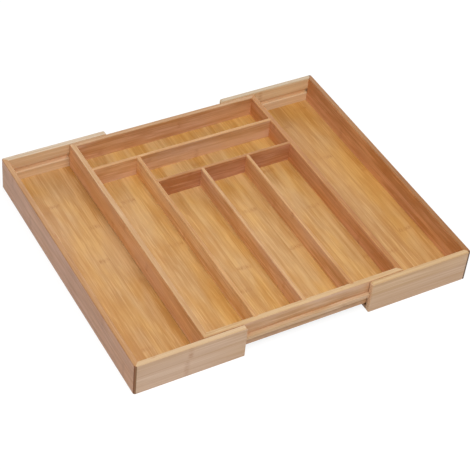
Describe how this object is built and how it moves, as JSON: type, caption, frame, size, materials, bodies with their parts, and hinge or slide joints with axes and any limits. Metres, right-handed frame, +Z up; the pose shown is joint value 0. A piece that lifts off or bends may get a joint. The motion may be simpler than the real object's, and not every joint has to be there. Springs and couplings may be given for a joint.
{
  "type": "cutlery tray",
  "caption": "Bamboo drawer tray for cutlery: a centre with compartments, and floored wings that slide out to either side on tongue-and-groove runners.",
  "frame": {"origin": "on the table, under the middle of the tray with both wings drawn out", "axes": "+X to the right along the slide, +Y to the back, +Z up"},
  "size_m": [0.498, 0.422, 0.05],
  "materials": {
    "wall_board": "satin lacquer",
    "divider_board": "satin lacquer",
    "floor_panel": "satin lacquer",
    "runner_strip": "satin lacquer"
  },
  "bodies": {
    "centre_tray": {"centre_front_wall": "wall_board", "centre_back_wall": "wall_board", "centre_left_wall": "wall_board", "centre_right_wall": "wall_board", "centre_floor": "floor_panel", "cross_divider_back": "divider_board", "cross_divider_front": "divider_board", "long_divider": "divider_board", "short_divider_left": "divider_board", "short_divider_right": "divider_board", "front_runner": "runner_strip", "back_runner": "runner_strip"},
    "left_wing": {"left_front_arm": "wall_board", "left_back_arm": "wall_board", "left_end_wall": "wall_board", "left_floor": "floor_panel", "left_foot_rail": "wall_board"},
    "right_wing": {"right_front_arm": "wall_board", "right_back_arm": "wall_board", "right_end_wall": "wall_board", "right_floor": "floor_panel", "right_foot_rail": "wall_board"}
  },
  "joints": [
    {"name": "left_slide", "type": "slide", "parent": "centre_tray", "child": "left_wing", "axis": [-1, 0, 0], "range_m": [-0.09, 0.005]},
    {"name": "right_slide", "type": "slide", "parent": "centre_tray", "child": "right_wing", "axis": [1, 0, 0], "range_m": [-0.095, 0]}
  ]
}
